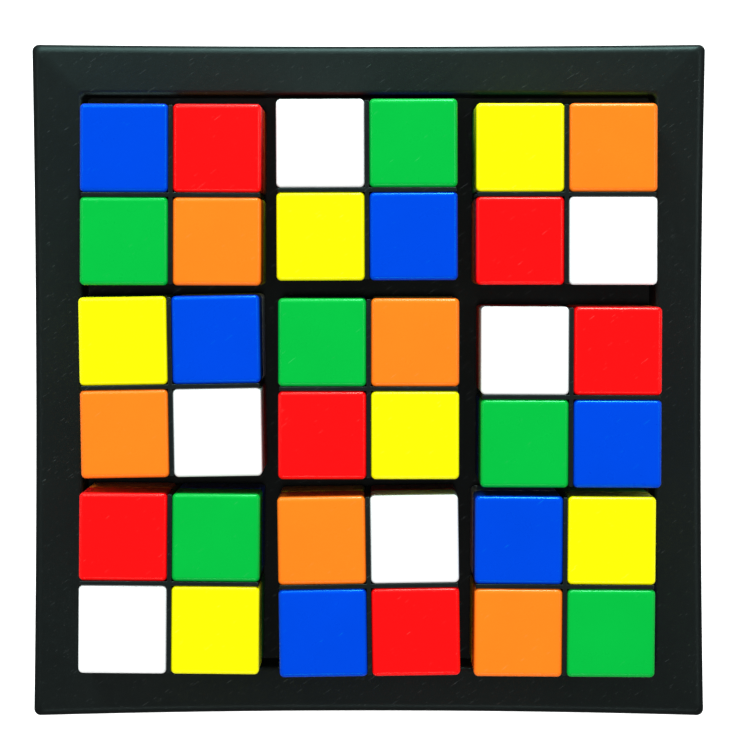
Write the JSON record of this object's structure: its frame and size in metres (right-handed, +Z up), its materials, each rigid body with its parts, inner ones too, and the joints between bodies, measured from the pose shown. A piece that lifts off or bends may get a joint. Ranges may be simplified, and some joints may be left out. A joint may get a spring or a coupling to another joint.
{
  "type": "colour block puzzle",
  "caption": "Square black tray filled by a grid of loose cube blocks, each a black core with coloured mini-cube caps; the blocks lift out to be turned and rearranged.",
  "frame": {"origin": "centre of the tray's flat underside", "axes": "+X to the right and +Y to the far side as a player looks down on the tray, +Z up out of the pocket"},
  "size_m": [0.145, 0.145, 0.0402],
  "materials": {
    "tray": "black moulded plastic, fine satin grain",
    "core": "black moulded plastic, satin",
    "cap_red": "red moulded plastic, soft gloss",
    "cap_orange": "orange moulded plastic, soft gloss",
    "cap_yellow": "yellow moulded plastic, soft gloss",
    "cap_green": "green moulded plastic, soft gloss",
    "cap_blue": "blue moulded plastic, soft gloss",
    "cap_white": "white moulded plastic, soft gloss"
  },
  "bodies": {
    "tray": {"tray": "tray"},
    "block_a1": {"block_a1_core": "core", "block_a1_cap_nw": "cap_blue", "block_a1_cap_ne": "cap_red", "block_a1_cap_sw": "cap_green", "block_a1_cap_se": "cap_orange", "block_a1_lower_caps": "cap_white"},
    "block_a2": {"block_a2_core": "core", "block_a2_cap_nw": "cap_white", "block_a2_cap_ne": "cap_green", "block_a2_cap_sw": "cap_yellow", "block_a2_cap_se": "cap_blue", "block_a2_lower_caps": "cap_red"},
    "block_a3": {"block_a3_core": "core", "block_a3_cap_nw": "cap_yellow", "block_a3_cap_ne": "cap_orange", "block_a3_cap_sw": "cap_red", "block_a3_cap_se": "cap_white", "block_a3_lower_caps": "cap_green"},
    "block_b1": {"block_b1_core": "core", "block_b1_cap_nw": "cap_yellow", "block_b1_cap_ne": "cap_blue", "block_b1_cap_sw": "cap_orange", "block_b1_cap_se": "cap_white", "block_b1_lower_caps": "cap_green"},
    "block_b2": {"block_b2_core": "core", "block_b2_cap_nw": "cap_green", "block_b2_cap_ne": "cap_orange", "block_b2_cap_sw": "cap_red", "block_b2_cap_se": "cap_yellow", "block_b2_lower_caps": "cap_blue"},
    "block_b3": {"block_b3_core": "core", "block_b3_cap_nw": "cap_white", "block_b3_cap_ne": "cap_red", "block_b3_cap_sw": "cap_green", "block_b3_cap_se": "cap_blue", "block_b3_lower_caps": "cap_red"},
    "block_c1": {"block_c1_core": "core", "block_c1_cap_nw": "cap_red", "block_c1_cap_ne": "cap_green", "block_c1_cap_sw": "cap_white", "block_c1_cap_se": "cap_yellow", "block_c1_lower_caps": "cap_orange"},
    "block_c2": {"block_c2_core": "core", "block_c2_cap_nw": "cap_orange", "block_c2_cap_ne": "cap_white", "block_c2_cap_sw": "cap_blue", "block_c2_cap_se": "cap_red", "block_c2_lower_caps": "cap_yellow"},
    "block_c3": {"block_c3_core": "core", "block_c3_cap_nw": "cap_blue", "block_c3_cap_ne": "cap_yellow", "block_c3_cap_sw": "cap_orange", "block_c3_cap_se": "cap_green", "block_c3_lower_caps": "cap_white"}
  },
  "joints": [
    {"name": "block_a1_lift", "type": "slide", "parent": "tray", "child": "block_a1", "axis": [0, 0, 1], "range_m": [0, 0.045]},
    {"name": "block_a2_lift", "type": "slide", "parent": "tray", "child": "block_a2", "axis": [0, 0, 1], "range_m": [0, 0.045]},
    {"name": "block_a3_lift", "type": "slide", "parent": "tray", "child": "block_a3", "axis": [0, 0, 1], "range_m": [0, 0.045]},
    {"name": "block_b1_lift", "type": "slide", "parent": "tray", "child": "block_b1", "axis": [0, 0, 1], "range_m": [0, 0.045]},
    {"name": "block_b2_lift", "type": "slide", "parent": "tray", "child": "block_b2", "axis": [0, 0, 1], "range_m": [0, 0.045]},
    {"name": "block_b3_lift", "type": "slide", "parent": "tray", "child": "block_b3", "axis": [0, 0, 1], "range_m": [0, 0.045]},
    {"name": "block_c1_lift", "type": "slide", "parent": "tray", "child": "block_c1", "axis": [0, 0, 1], "range_m": [0, 0.045]},
    {"name": "block_c2_lift", "type": "slide", "parent": "tray", "child": "block_c2", "axis": [0, 0, 1], "range_m": [0, 0.045]},
    {"name": "block_c3_lift", "type": "slide", "parent": "tray", "child": "block_c3", "axis": [0, 0, 1], "range_m": [0, 0.045]}
  ]
}
